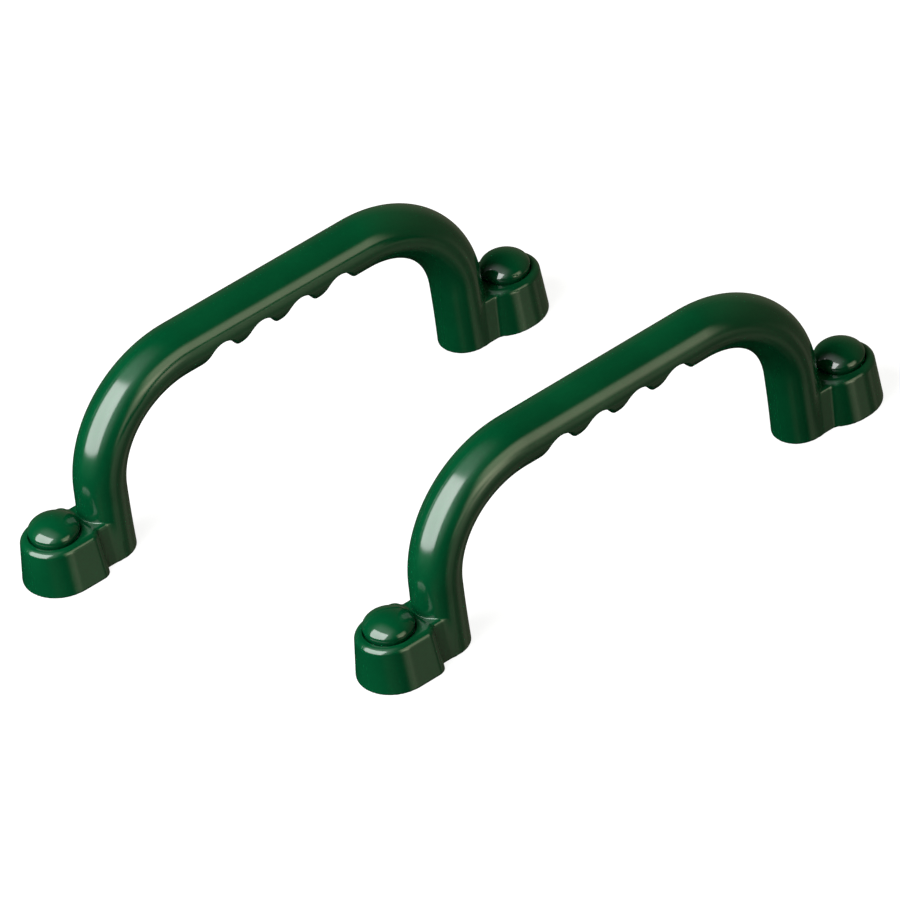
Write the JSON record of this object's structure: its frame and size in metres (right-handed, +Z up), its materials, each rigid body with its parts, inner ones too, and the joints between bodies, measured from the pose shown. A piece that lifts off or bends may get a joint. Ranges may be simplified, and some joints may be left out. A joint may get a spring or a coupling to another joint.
{
  "type": "pair of playground grab handles",
  "caption": "Two moulded plastic grab handles for a child's climbing frame: a bent bar with finger grooves, a screw foot at each end and a domed cap over each screw.",
  "frame": {"origin": "middle of the pair's bounding box, on the surface the feet stand on", "axes": "+Z up from the mounting surface, +X along both handles from the left foot to the right foot, +Y across from handle b to handle a"},
  "size_m": [0.302, 0.1684, 0.0806],
  "materials": {
    "handle_plastic": "glossy",
    "cap_plastic": "glossy"
  },
  "bodies": {
    "handle_a": {"handle_a": "handle_plastic"},
    "handle_b": {"handle_b": "handle_plastic"},
    "cap_a_left": {"cap_a_left": "cap_plastic"},
    "cap_a_right": {"cap_a_right": "cap_plastic"},
    "cap_b_left": {"cap_b_left": "cap_plastic"},
    "cap_b_right": {"cap_b_right": "cap_plastic"}
  },
  "joints": [
    {"name": "handle_b_lift", "type": "slide", "parent": "handle_a", "child": "handle_b", "axis": [0, 0, 1], "range_m": [0, 0.15]},
    {"name": "cap_a_left_pull", "type": "slide", "parent": "handle_a", "child": "cap_a_left", "axis": [0, 0, 1], "range_m": [0, 0.03]},
    {"name": "cap_a_right_pull", "type": "slide", "parent": "handle_a", "child": "cap_a_right", "axis": [0, 0, 1], "range_m": [0, 0.03]},
    {"name": "cap_b_left_pull", "type": "slide", "parent": "handle_b", "child": "cap_b_left", "axis": [0, 0, 1], "range_m": [0, 0.03]},
    {"name": "cap_b_right_pull", "type": "slide", "parent": "handle_b", "child": "cap_b_right", "axis": [0, 0, 1], "range_m": [0, 0.03]}
  ]
}
